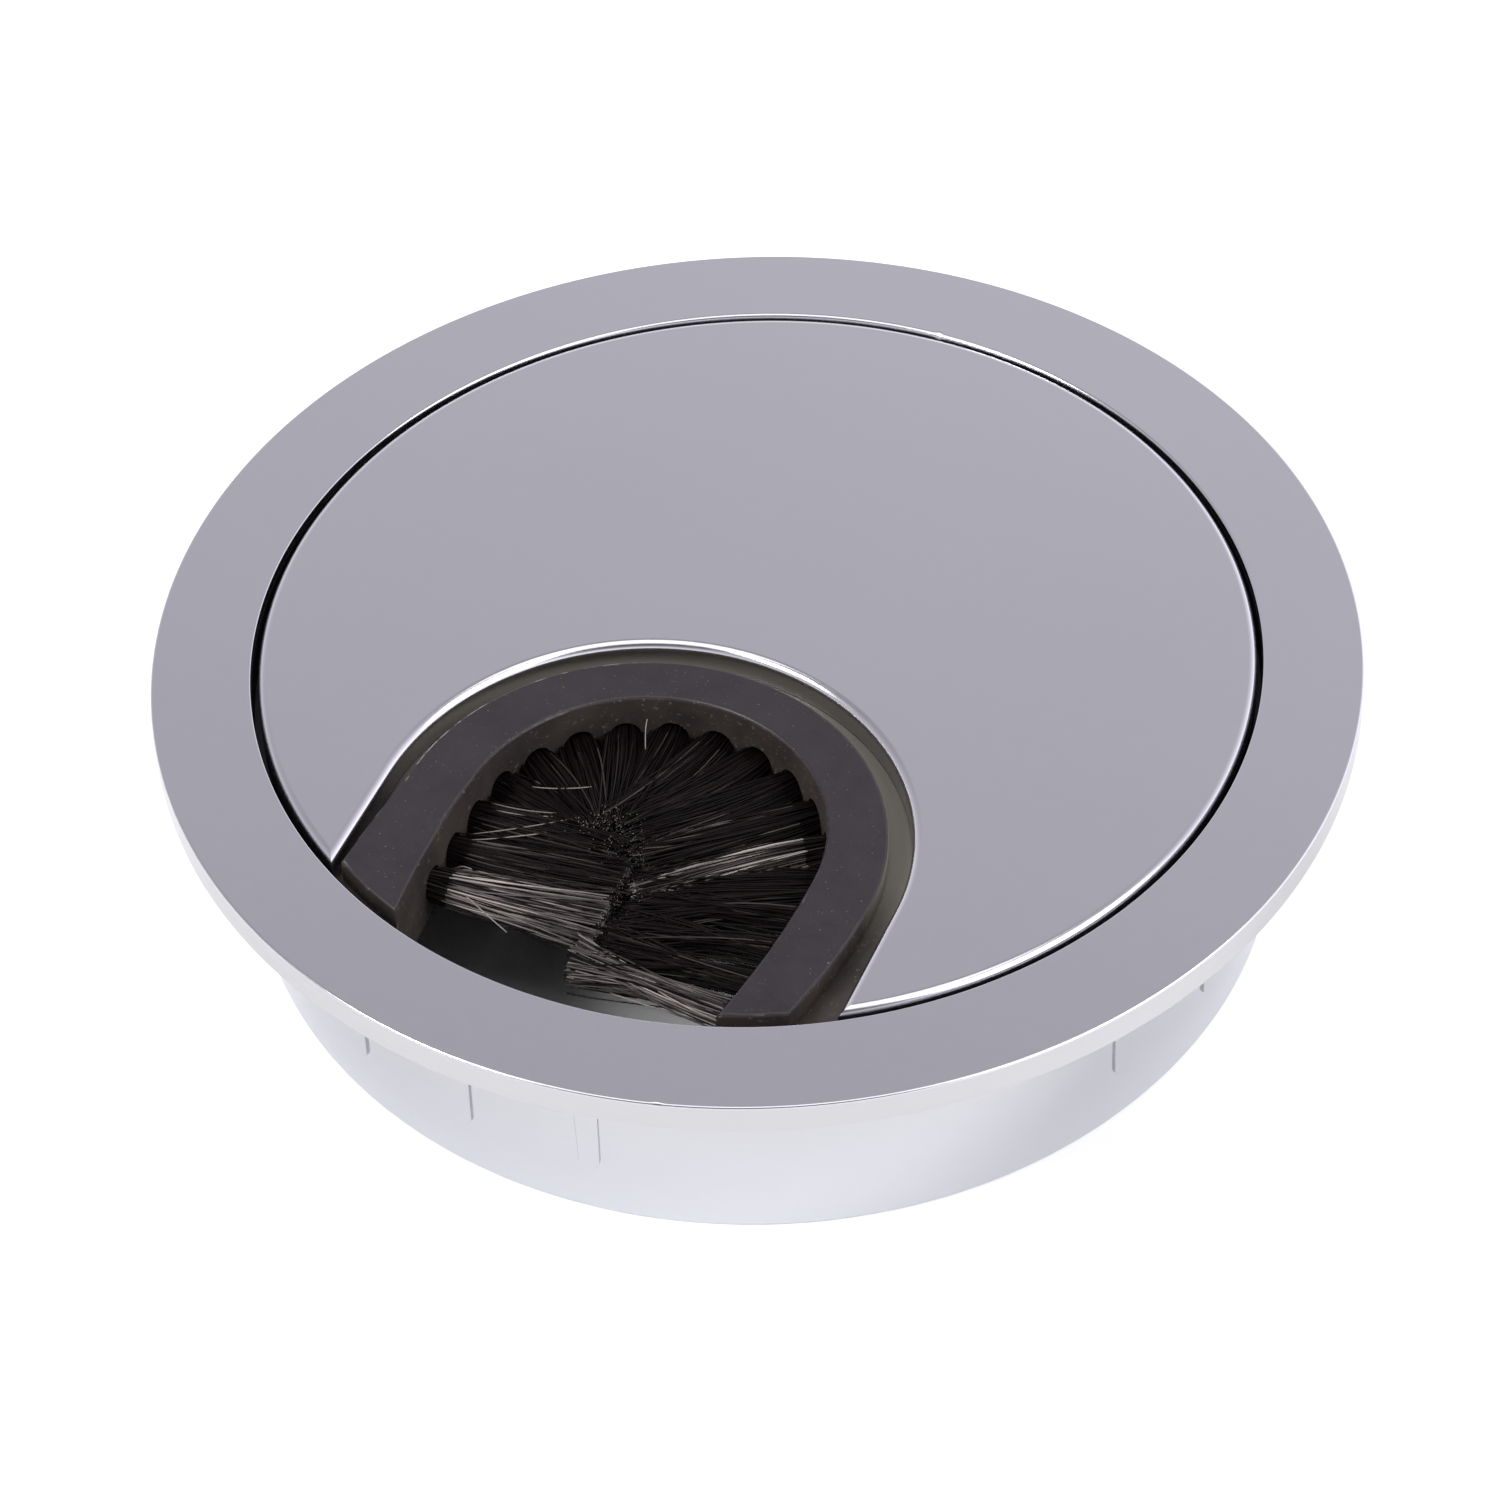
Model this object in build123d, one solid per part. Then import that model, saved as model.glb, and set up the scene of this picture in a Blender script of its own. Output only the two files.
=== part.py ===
"""Round desk grommet for an 80 mm hole: a die-cast ring that stands in the desk, a loose lid
with a U-shaped cable notch, and a plastic brush carrier that turns in the ring under the lid.

Millimetres. +Z is up and the notch opens towards -Y. The origin is the centre of the ring's
bottom rim, so the flange's top face is at z = RING_HEIGHT.
"""

from build123d import *
import math
import os

# Ring
RING_HEIGHT = 20.0
FLANGE_RADIUS = 45.2
FLANGE_THICKNESS = 2.5
SKIRT_RADIUS = 39.25  # 78.5 mm across, for an 80 mm hole
SKIRT_WALL = 1.5
LEDGE_RADIUS = 36.2  # inner edge of the ledge that the carrier turns on
LEDGE_THICKNESS = 1.5
RING_EDGE = 0.2  # rounding of the ring's outer edges
RECESS_EDGE = 0.1  # and of the recess that the lid lies in

# Crush ribs on the skirt: four groups of three
RIB_GROUP_ANGLES = (-100.7, -10.7, 79.3, 169.3)
RIB_PITCH_ANGLE = 15.0
RIB_HEIGHT_OUT = 0.2
RIB_TOP_WIDTH = 2.0
RIB_END_WIDTH = 1.6
RIB_END_Z = RING_HEIGHT - 15.3
RIB_ROOT = 0.6  # how far each rib reaches into the skirt's wall

# Lid
LID_GAP = 0.42
LID_PLAY = (-0.04, 0.25)  # how far off the ring's axis the loose lid lies
LID_THICKNESS = 2.3
LID_EDGE = 0.7  # rounding along its rim and its notch
NOTCH_CENTRE = (-0.35, -21.05)
NOTCH_RADIUS = 19.7

# Brush carrier: a plate under the lid, and a horseshoe that stands up in the notch
PLATE_THICKNESS = 1.2
PLATE_GAP = 0.55
SHOE_DROP = 0.4  # the horseshoe's top lies this far below the lid's
SHOE_HEIGHT = 6.5
SHOE_EDGE = 0.25
SHOE_END_RADIUS = 36.4  # its arms end on a circle about the ring's axis
SHOE_LEDGE_GAP = 0.4  # and below the plate this far inside the ring's ledge
OUTER_CENTRE = (-0.6, -21.0)
OUTER_RADIUS = 18.2
INNER_CENTRE = (-0.7, -20.1)
INNER_RADIUS = 13.5
# Each arm's edge bends through a point half-way down it to one past its end. Both arms lean
# to the left, because the moulding sits askew in the notch by its play.
OUTER_LEFT_ARM = ((-19.4, -27.0), (-19.5, -38.0))
OUTER_RIGHT_ARM = ((17.2, -27.0), (14.2, -38.0))
INNER_LEFT_ARM = ((-14.3, -27.5), (-13.3, -38.0))
INNER_RIGHT_ARM = ((12.45, -27.5), (10.6, -38.0))

# Tufts: one row of blind holes along the horseshoe's inner wall, from the left arm's lowest
# hole over the arch and down the right arm
TUFT_COUNT = 18
TUFT_PITCH = 3.55
FIRST_TUFT_Y = -27.0
HOLE_RADIUS = 1.2
HOLE_DEPTH = 3.0
HOLE_DROP = 3.8  # from the horseshoe's top to the holes' axes
TUFT_ROOT_RADIUS = 1.15
ARCH_TIP_RADIUS = 0.45
ARM_TIP_RADIUS = 0.85
ARCH_TIP_DISTANCE = 5.0  # from the arch's centre to the arch tufts' tips
ARM_TIP_GAP = 0.6  # from the middle line to the arm tufts' tips
RIGHT_ARM_LEAN = 0.085  # sideways for each millimetre down the right arm's inner wall

# Anchors: flat staples that the tufts are folded over, pressed into the holes' walls
ANCHOR_WIDTH = 2.9
ANCHOR_THICKNESS = 0.35
ANCHOR_LENGTH = 1.2
ANCHOR_INSET = 0.5  # from the hole's bottom

# Levels and radii that follow
FLANGE_BOTTOM = RING_HEIGHT - FLANGE_THICKNESS
LID_BOTTOM = RING_HEIGHT - LID_THICKNESS
PLATE_BOTTOM = LID_BOTTOM - PLATE_THICKNESS
LEDGE_BOTTOM = PLATE_BOTTOM - LEDGE_THICKNESS
SHOE_TOP = RING_HEIGHT - SHOE_DROP
SHOE_BOTTOM = SHOE_TOP - SHOE_HEIGHT
HOLE_Z = SHOE_TOP - HOLE_DROP
RECESS_RADIUS = SKIRT_RADIUS - SKIRT_WALL
LID_RADIUS = RECESS_RADIUS - LID_GAP
PLATE_RADIUS = RECESS_RADIUS - PLATE_GAP

SAME_POINT = 0.01  # corners nearer than this are one corner
PAST = 2.0  # how far a cutter runs past what it cuts


def corners_at(section, places):
    """The section's corners that lie at the given radii and heights."""
    found = []
    for corner in section.vertices():
        if any(math.dist((corner.X, corner.Y), at) < SAME_POINT for at in places):
            found.append(corner)
    return found


def ring_section():
    """Half of the ring's section, as radius and height, with its outer edges rounded."""
    recess_edge = (RECESS_RADIUS, RING_HEIGHT)
    outer_edges = [
        (FLANGE_RADIUS, RING_HEIGHT),
        (FLANGE_RADIUS, FLANGE_BOTTOM),
        (SKIRT_RADIUS, 0),
        (RECESS_RADIUS, 0),
    ]
    under_flange = (SKIRT_RADIUS, FLANGE_BOTTOM)
    ledge = [
        (RECESS_RADIUS, LEDGE_BOTTOM),
        (LEDGE_RADIUS, LEDGE_BOTTOM),
        (LEDGE_RADIUS, PLATE_BOTTOM),
        (RECESS_RADIUS, PLATE_BOTTOM),
    ]
    outline = Polyline(recess_edge, *outer_edges[:2], under_flange, *outer_edges[2:], *ledge, close=True)
    section = make_face(outline)
    section = fillet(corners_at(section, outer_edges), RING_EDGE)
    return fillet(corners_at(section, [recess_edge]), RECESS_EDGE)


def crush_rib(angle):
    """A flat bar down the skirt that narrows a little to a round lower end."""
    end = RIB_END_Z + RIB_END_WIDTH / 2
    bar = make_face(
        Polyline(
            (-RIB_TOP_WIDTH / 2, FLANGE_BOTTOM),
            (RIB_TOP_WIDTH / 2, FLANGE_BOTTOM),
            (RIB_END_WIDTH / 2, end),
            (-RIB_END_WIDTH / 2, end),
            close=True,
        )
    )
    outline = bar + Pos(0, end) * Circle(RIB_END_WIDTH / 2)
    upright = Plane(origin=(SKIRT_RADIUS - RIB_ROOT, 0, 0), x_dir=(0, 1, 0), z_dir=(1, 0, 0))
    return Rot(0, 0, angle) * extrude(upright * outline, RIB_ROOT + RIB_HEIGHT_OUT)


def base_ring():
    """Flange, skirt, inner ledge and crush ribs, all one casting."""
    ring = revolve(Plane.XZ * ring_section(), Axis.Z)
    for group in RIB_GROUP_ANGLES:
        for step in (-1, 0, 1):
            ring += crush_rib(group + step * RIB_PITCH_ANGLE)
    return ring


def lid():
    """A flat disc with the U-shaped notch, its top face rounded over all round."""
    x, y = NOTCH_CENTRE
    sides = Pos(x, y - FLANGE_RADIUS / 2) * Rectangle(2 * NOTCH_RADIUS, FLANGE_RADIUS)
    notch = sides + Pos(x, y) * Circle(NOTCH_RADIUS)
    outline = Pos(*LID_PLAY) * Circle(LID_RADIUS) - notch
    disc = extrude(Pos(0, 0, LID_BOTTOM) * outline, LID_THICKNESS)
    return fillet(disc.faces().sort_by(Axis.Z)[-1].edges(), LID_EDGE)


def shoe_edge(centre, radius, left_arm, right_arm):
    """The horseshoe's outer or inner edge, closed straight across past the arms' ends."""
    x, y = centre
    left, right = (x - radius, y), (x + radius, y)
    arch = ThreePointArc(left, (x, y + radius), right)
    right_edge = ThreePointArc(right, *right_arm)
    left_edge = ThreePointArc(left, *left_arm)
    across = Line(right_arm[1], left_arm[1])
    return make_face(Wire([arch, right_edge, across, left_edge]))


def tuft_places():
    """For each tuft, where on the inner wall it comes out, and the angle it points at."""
    x, y = INNER_CENTRE
    left_arm_length = y - FIRST_TUFT_Y
    arch_length = math.pi * INNER_RADIUS
    places = []
    for number in range(TUFT_COUNT):
        along = number * TUFT_PITCH - left_arm_length
        if along < 0:
            places.append((x - INNER_RADIUS, y + along, 0))
        elif along < arch_length:
            outwards = math.pi - along / INNER_RADIUS
            wall_x = x + INNER_RADIUS * math.cos(outwards)
            wall_y = y + INNER_RADIUS * math.sin(outwards)
            places.append((wall_x, wall_y, math.degrees(outwards) + 180))
        else:
            down = along - arch_length
            places.append((x + INNER_RADIUS - RIGHT_ARM_LEAN * down, y - down, 180))
    return places


def along_tuft(place):
    """A location on the inner wall at a tuft, its +X axis pointing inwards along the tuft."""
    x, y, angle = place
    return Pos(x, y, HOLE_Z) * Rot(0, 0, angle)


def anchor(place):
    """A small upright plate across the bottom of a tuft's hole."""
    middle = ANCHOR_INSET + ANCHOR_LENGTH / 2 - HOLE_DEPTH
    plate = Box(ANCHOR_LENGTH, ANCHOR_THICKNESS, ANCHOR_WIDTH)
    return along_tuft(place) * Pos(middle, 0, 0) * plate


def brush_carrier(places, anchors):
    """The plate under the lid and the horseshoe, with the tufts' holes."""
    inner = shoe_edge(INNER_CENTRE, INNER_RADIUS, INNER_LEFT_ARM, INNER_RIGHT_ARM)
    outer = shoe_edge(OUTER_CENTRE, OUTER_RADIUS, OUTER_LEFT_ARM, OUTER_RIGHT_ARM)
    shoe_section = (outer - inner) & Circle(SHOE_END_RADIUS)
    shoe = extrude(Pos(0, 0, SHOE_BOTTOM) * shoe_section, SHOE_HEIGHT)
    shoe = fillet(shoe.faces().sort_by(Axis.Z)[-1].edges(), SHOE_EDGE)
    clear = Circle(SHOE_END_RADIUS + PAST) - Circle(LEDGE_RADIUS - SHOE_LEDGE_GAP)
    shoe -= extrude(Pos(0, 0, SHOE_BOTTOM) * clear, PLATE_BOTTOM - SHOE_BOTTOM)
    plate = extrude(Pos(0, 0, PLATE_BOTTOM) * (Circle(PLATE_RADIUS) - inner), PLATE_THICKNESS)
    carrier = plate + shoe
    bore = Rot(0, 90, 0) * Cylinder(HOLE_RADIUS, HOLE_DEPTH + PAST)
    for place in places:
        carrier -= along_tuft(place) * Pos((PAST - HOLE_DEPTH) / 2, 0, 0) * bore
    return carrier - anchors


def bristle_tuft(place, reach, tip_radius):
    """The space that one tuft's bristles fill: round in its hole, tapering to the tips."""
    section = make_face(
        Polyline(
            (-HOLE_DEPTH, 0),
            (-HOLE_DEPTH, TUFT_ROOT_RADIUS),
            (0, TUFT_ROOT_RADIUS),
            (reach, tip_radius),
            (reach, 0),
            close=True,
        )
    )
    return along_tuft(place) * revolve(section, Axis.X)


def tuft_reach(place):
    """How far a tuft stands out of the wall, and its tip's radius."""
    x, _, angle = place
    if angle in (0, 180):
        return abs(x) - ARM_TIP_GAP, ARM_TIP_RADIUS
    return INNER_RADIUS - ARCH_TIP_DISTANCE, ARCH_TIP_RADIUS


os.makedirs("parts", exist_ok=True)
places = tuft_places()
anchor_plates = [anchor(place) for place in places]
anchors = Compound(anchor_plates)
nodes = {
    "base_ring": base_ring(),
    "lid": lid(),
    "brush_carrier": brush_carrier(places, anchors),
    "tuft_anchors": anchors,
}
for number, (place, plate) in enumerate(zip(places, anchor_plates), start=1):
    tuft = bristle_tuft(place, *tuft_reach(place))
    nodes[f"bristle_tuft_{number:02d}"] = tuft - plate
for name, node in nodes.items():
    export_step(node, f"parts/{name}.step")
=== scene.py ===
"""Looks of the desk cable grommet: camera, studio, castings, finishes, and the brush strand by strand."""

import math

import bpy
import numpy as np
from mathutils import Matrix, Vector


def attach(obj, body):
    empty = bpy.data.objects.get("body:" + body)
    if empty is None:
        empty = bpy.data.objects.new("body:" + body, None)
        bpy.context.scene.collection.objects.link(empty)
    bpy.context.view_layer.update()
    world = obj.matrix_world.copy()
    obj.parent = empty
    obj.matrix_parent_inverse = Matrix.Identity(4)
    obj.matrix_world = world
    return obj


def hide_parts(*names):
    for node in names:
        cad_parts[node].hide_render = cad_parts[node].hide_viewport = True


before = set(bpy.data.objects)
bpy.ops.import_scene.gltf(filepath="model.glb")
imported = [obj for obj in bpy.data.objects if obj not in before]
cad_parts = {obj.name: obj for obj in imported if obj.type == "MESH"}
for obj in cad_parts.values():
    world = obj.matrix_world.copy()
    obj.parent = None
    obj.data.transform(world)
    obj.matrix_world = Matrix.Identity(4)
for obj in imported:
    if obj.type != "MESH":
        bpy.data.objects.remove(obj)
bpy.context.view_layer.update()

MM = 0.001
SEED = 4711

# Camera: where it looks, from which side, how far off and how far it leans
AIM = Vector((3.8, -10.2, 20.0)) * MM
VIEW_AZIMUTH = math.radians(24.46)
VIEW_ELEVATION = math.radians(45.53)
VIEW_DISTANCE = 365.1 * MM
VIEW_ROLL = math.radians(-2.53)
SENSOR = 36.0
FOCAL_LENGTH = 119.8

# Floor and softboxes. Each softbox has its azimuth and elevation, its width and height, and its radiance.
FLOOR_SIZE = 6.0
FLOOR_TONE = 0.92
FLOOR_ROUGHNESS = 0.8
SOFTBOX_DISTANCE = 1.0
SOFTBOXES = {
    "softbox_right": (-5.0, 42.0, 0.7, 0.6, 4.2),
    "softbox_left": (-132.0, 45.0, 0.32, 0.32, 22.0),
    "softbox_above": (-75.0, 83.0, 0.85, 0.8, 1.9),
}

# Room: its light from the horizon up, a part high in front that is nearly unlit, and a brighter side
HORIZON_LIGHT = (1.65, 1.63, 1.74)
ZENITH_LIGHT = (0.32, 0.32, 0.35)
UNLIT_AZIMUTH = -66.0
UNLIT_ELEVATION = 55.0
UNLIT_FROM = 0.75
UNLIT_TO = 0.92
UNLIT_LIGHT = 0.25
BRIGHT_AZIMUTH = 24.0
BRIGHT_SHARE = 0.4

# Ring, as the CAD has it, apart from the ribs' bevel
RING_HEIGHT = 20.0 * MM
FLANGE_RADIUS = 45.2 * MM
FLANGE_BOTTOM = 17.5 * MM
SKIRT_RADIUS = 39.25 * MM
RECESS_RADIUS = 37.75 * MM
LEDGE_RADIUS = 36.2 * MM
LEDGE_TOP = 16.5 * MM
LEDGE_BOTTOM = 15.0 * MM
RING_EDGE = 0.2 * MM
RECESS_EDGE = 0.1 * MM
RIB_GROUP_ANGLES = (-100.7, -10.7, 79.3, 169.3)
RIB_PITCH_ANGLE = 15
RIB_OUT = 0.2 * MM
RIB_ROOT = 0.6 * MM
RIB_TOP_HALF = 1.0 * MM
RIB_END_HALF = 0.8 * MM
RIB_END_Z = 4.7 * MM
RIB_BEVEL = 0.05 * MM

# Where the ring's edges are rounder than the CAD has them: the middle of the place and its half width, in
# degrees about the axis, and the extra rounding there
RECESS_WEAR = (105.0, 48.0, 0.24 * MM)
RECESS_KNOCK = (90.1, 0.3, 0.3 * MM)
FLANGE_KNOCK = (-76.1, 0.25, 0.15 * MM)

# Lid, as the CAD has it
LID_RADIUS = 37.33 * MM
LID_CENTRE = (-0.04 * MM, 0.25 * MM)
LID_BOTTOM = 17.7 * MM
LID_EDGE = 0.7 * MM
NOTCH_CENTRE = (-0.35 * MM, -21.05 * MM)
NOTCH_RADIUS = 19.7 * MM

# How finely the castings are made
RING_SEGMENTS = 540
ARC_STEPS = 5
RIB_END_STEPS = 12
LID_LEVELS = 9
LID_RIM_POINTS = 420
NOTCH_ARCH_POINTS = 240
NOTCH_ARM_POINTS = 24

# The horseshoe's inside wall, as the CAD has it
ARCH_CENTRE = Vector((-0.7, -20.1, 15.8)) * MM
ARCH_RADIUS = 13.5 * MM
TUFT_COUNT = 18
TUFT_PITCH = 3.55 * MM
FIRST_TUFT_Y = -27.0 * MM
RIGHT_ARM_LEAN = 0.085

# The horseshoe's outer edge, as the CAD has it
SHOE_CENTRE = (-0.6 * MM, -21.0 * MM)
SHOE_RADIUS = 18.2 * MM
SHOE_TOP = 19.6 * MM

# Noise patterns: features per metre, and layers of finer detail
NOISE_RANGE = (0.3, 0.7)
PLATING_CLOUD = (45.0, 3.0)
PLATING_MOTTLE = (700.0, 3.0)
PLASTIC_CLOUD = (260.0, 4.0)
PLASTIC_MOTTLE = (1500.0, 2.0)
PLASTIC_GRAIN = (6000.0, 2.0)
WALL_SCUFFS = (2400.0, 3.0)
EDGE_SCUFFS = (1400.0, 3.0)
DUST_SPECKS = (5200.0, 1.0)
WIRE_PATCHES = (1800.0, 3.0)
NYLON_MOTTLE = (4000.0, 2.0)

# Where a noise is high enough for marks to show: from and up to which value, and how much they cover there
WALL_SCUFF_COVER = (0.63, 0.70, 0.0, 0.7)
EDGE_SCUFF_COVER = (0.50, 0.58, 0.0, 1.0)
DUST_COVER = (0.72, 0.78, 0.0, 0.8)

# Plating. The ring's upright outside sides, from SIDE_FROM outwards, get painted light and shade in their
# tints. Where the lid sits in the ring the plating gets painted shade, dark and rougher, apart from the two
# ends of a line across the ring.
RING_TINT = (0.535, 0.53, 0.565)
LID_TINT = (0.54, 0.53, 0.565)
CLOUD_SHADE = 0.97
# Painted light and shade on the ring's upright outside sides: lighter at the skirt's foot, darker under the
# flange and on its side
SKIRT_FOOT_PAINTED_LIGHT = (0.570, 0.578, 0.610)
SKIRT_TOP_PAINTED_SHADE = (0.404, 0.402, 0.410)
FLANGE_SIDE_PAINTED_SHADE = (0.435, 0.435, 0.448)
SIDE_FROM = 38.4 * MM
SIDE_TO = 38.8 * MM
PLATING_ROUGHNESS = (0.17, 0.21)
# Painted shade: a dark plating where the lid sits in the ring
PAINTED_SHADE_PLATING = (0.07, 0.07, 0.075)
DULL_ROUGHNESS = 0.3
# Where the painted shade is left off: the two ends of a line across the ring at this azimuth
UNSHADED_AZIMUTH = 114.0
UNSHADED_FROM = 21.0 * MM
UNSHADED_TO = 27.0 * MM

# Insert's plastic: the two ends of each cloudy colour, what lies on it, the painted light in its trench, and
# how rough its top is
SKIN_TONES = ((0.0092, 0.0062, 0.0088), (0.0138, 0.0096, 0.0128))
# The walls' tones: browner than the top's, and lighter as painted light
WALL_TONES_WITH_PAINTED_LIGHT = ((0.017, 0.0125, 0.0112), (0.034, 0.0265, 0.0218))
WALL_SCUFF = (0.11, 0.095, 0.080)
# A painted light on the trench floor round the horseshoe's arch
TRENCH_PAINTED_LIGHT = (0.140, 0.130, 0.105)
DUST = (0.13, 0.12, 0.11)
RUBBED_PLASTIC = (0.45, 0.44, 0.43)
RUBBED_SHARE = 0.5
PLASTIC_SPECULAR = 0.42
PLASTIC_ROUGHNESS = (0.36, 0.46)
WALL_ROUGHER = 0.2
GRAIN_STRENGTH = 0.10
GRAIN_DEPTH = 0.02 * MM

# Staple wire and bristle filament
WIRE_TONES = ((0.42, 0.42, 0.43), (0.62, 0.62, 0.63))
WIRE_ROUGHNESS = (0.25, 0.45)
# Nylon tones: from black to a pale that stands for dust and painted highlight
NYLON_TONES = ((0.0045, 0.0028, 0.0030), (0.37, 0.325, 0.312))
NYLON_SPECULAR = 0.05
NYLON_ROUGHNESS = (0.28, 0.42)

# Strands: how many and how thick they are, and how they stand packed in the hole
STRANDS_PER_TUFT = 270
STRAND_RADIUS = 0.06 * MM
THICKNESS_RANGE = (0.8, 1.15)
STRAND_SIDES = 5
STRAND_STEPS = 8
STRAY_RADIUS = 0.045 * MM
ROOT_SPREAD = 0.95 * MM
ROOT_DEPTH = 2.4 * MM
ROOT_SINK = 0.2 * MM

# How strands spread: FAN_UP, LEAVE_JITTER and ARRIVE_JITTER are in millimetres, the other jitters are shares
# of the tuft's spread, and arm tufts fan along the seam that the two arms' tips meet in
TIP_LIFT = 0.1 * MM
FAN_UP = 1.1
SEAM_SIDE = np.array((-0.12, 1.0, 0.0))
OPENING_OUT = 0.9 * MM
SPLAY_JITTER = 0.3
REACH_JITTER = 0.6
OPENING_JITTER = 0.4
LEAVE_SHARE = 0.30
LEAVE_JITTER = 0.12
ARRIVE_SHARE = 0.4
ARRIVE_JITTER = 0.30

# Strand tones, painted highlight and painted shade: how many catch the light even in a dark tuft, and how the
# tone runs along a strand
CATCH_SHARE = 0.04
CATCH_GAIN = 1.5
CATCH_LEAST = 0.05
CATCH_RANGE = (0.2, 1.0)
DARK_TONE = 0.015
SHADED_LENGTH = 1.3 * MM
SHADED_RANGE = (0.6, 1.6)
GLINT_WIDTH = 0.4
GLINT_FLOOR = 0.3
SHADED_TONE = 0.1
CUT_END_TONE = 0.6
STRAY_TONE = 0.8

# For each tuft: where its tips end up (x, y), how wide they fan across and along it, in millimetres,
# how pale it looks, with dust and painted highlight, and the share of its length where the painted highlight
# is brightest
TUFT_LOOKS = (
    ((-0.9, -26.4), 2.2, 0.3, 0.68, 0.35),
    ((-1.0, -22.6), 1.7, 0.4, 0.14, 0.3),
    ((-3.6, -20.0), 1.3, 1.2, 0.14, 0.25),
    ((-6.0, -19.0), 0.9, 0.9, 0.10, 0.4),
    ((-5.6, -18.3), 0.8, 0.8, 0.05, 0.5),
    ((-5.0, -17.7), 0.8, 0.8, 0.04, 0.5),
    ((-4.4, -17.2), 0.9, 0.8, 0.04, 0.5),
    ((-3.8, -16.9), 1.0, 0.8, 0.05, 0.5),
    ((-4.6, -17.1), 1.3, 0.9, 0.09, 0.5),
    ((-3.0, -17.2), 1.5, 1.0, 0.08, 0.5),
    ((-1.7, -18.3), 1.6, 0.9, 0.10, 0.5),
    ((-0.8, -19.8), 1.7, 0.6, 0.20, 0.6),
    ((0.5, -23.6), 1.1, 0.4, 0.80, 0.5),
    ((0.4, -22.6), 2.0, 0.6, 0.07, 0.35),
    ((0.5, -25.2), 2.0, 0.5, 0.06, 0.3),
    ((0.5, -27.0), 2.0, 0.6, 0.08, 0.3),
    ((0.1, -28.9), 2.0, 0.7, 0.10, 0.3),
    ((-1.4, -30.5), 1.5, 0.4, 0.60, 0.6),
)

# Loose bristles of a tuft, each through four points in millimetres, with its tone of dust and painted
# highlight
STRAYS = {
    1: (
        (((-11.6, -27.6, 16.2), (-10.6, -28.4, 16.7), (-9.2, -29.2, 16.7), (-7.1, -29.8, 16.0)), 0.75),
        (((-13.2, -25.6, 16.2), (-12.6, -25.9, 16.9), (-12.3, -26.0, 17.3), (-11.4, -26.3, 17.5)), 0.6),
    ),
    3: (
        (((-13.8, -22.1, 16.1), (-12.0, -21.8, 16.7), (-9.0, -20.0, 16.7), (-6.2, -18.0, 16.9)), 0.6),
        (((-13.6, -22.6, 16.1), (-12.6, -22.8, 16.6), (-10.4, -21.6, 16.6), (-8.2, -20.4, 16.7)), 0.75),
    ),
    4: (
        (((-13.4, -19.2, 16.2), (-12.4, -19.6, 16.7), (-10.6, -19.6, 16.7), (-8.4, -18.7, 16.7)), 0.8),
        (((-13.2, -19.0, 16.6), (-12.0, -19.2, 16.9), (-10.4, -19.2, 16.9), (-8.0, -18.4, 16.9)), 0.5),
    ),
    5: (
        (((-11.5, -16.1, 16.2), (-10.6, -16.6, 16.9), (-9.0, -16.3, 16.9), (-6.9, -15.1, 16.9)), 0.6),
    ),
    8: (
        (((-4.9, -9.8, 16.2), (-5.6, -8.2, 17.1), (-6.2, -6.9, 17.5), (-5.0, -6.7, 17.7)), 0.7),
    ),
}


def node_material(name):
    """A node material, with its tree and its Principled shader."""
    material = bpy.data.materials.new(name)
    material.use_nodes = True
    tree = material.node_tree
    return material, tree, tree.nodes["Principled BSDF"]


def add_node(tree, kind, links=(), **settings):
    """One node, with settings on the node itself; links are (input name or number, output socket) pairs."""
    node = tree.nodes.new(kind)
    for key, value in settings.items():
        setattr(node, key, value)
    for socket, source in links:
        tree.links.new(source, node.inputs[socket])
    return node


def set_inputs(node, values):
    for key, value in values.items():
        node.inputs[key].default_value = value


def fill_input(tree, node, number, value):
    """Gives a numbered input a value: a socket to link, or a plain number or vector."""
    if isinstance(value, bpy.types.NodeSocket):
        tree.links.new(value, node.inputs[number])
    else:
        node.inputs[number].default_value = value


def combine(tree, operation, first, second=0.0):
    """A Math node of two values, each a socket or a number."""
    node = add_node(tree, "ShaderNodeMath", operation=operation)
    fill_input(tree, node, 0, first)
    fill_input(tree, node, 1, second)
    return node.outputs["Value"]


def product(tree, *factors):
    """Several sockets or numbers multiplied."""
    total = factors[0]
    for factor in factors[1:]:
        total = combine(tree, "MULTIPLY", total, factor)
    return total


def remap(tree, value, low, high, to_low, to_high):
    node = add_node(tree, "ShaderNodeMapRange", [("Value", value)])
    set_inputs(node, {"From Min": low, "From Max": high, "To Min": to_low, "To Max": to_high})
    return node.outputs["Result"]


def rising(tree, value, low, high):
    """0 below low, 1 above high."""
    return remap(tree, value, low, high, 0.0, 1.0)


def falling(tree, value, low, high):
    """1 below low, 0 above high."""
    return remap(tree, value, low, high, 1.0, 0.0)


def blend_colours(tree, factor, first, second):
    """Two colours, each a socket or a plain one, blended by a factor's socket."""
    node = add_node(tree, "ShaderNodeMix", [("Factor", factor)], data_type="RGBA")
    for number, colour in ((6, first), (7, second)):
        plain = not isinstance(colour, bpy.types.NodeSocket)
        fill_input(tree, node, number, (*colour, 1.0) if plain else colour)
    return node.outputs[2]


def noise(tree, place, pattern):
    scale, detail = pattern
    node = add_node(tree, "ShaderNodeTexNoise", [("Vector", place)])
    set_inputs(node, {"Scale": scale, "Detail": detail})
    return node.outputs["Fac"]


def mottled(tree, place, pattern, ends):
    """A value that wanders between two ends over the surface."""
    return remap(tree, noise(tree, place, pattern), *NOISE_RANGE, *ends)


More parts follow.
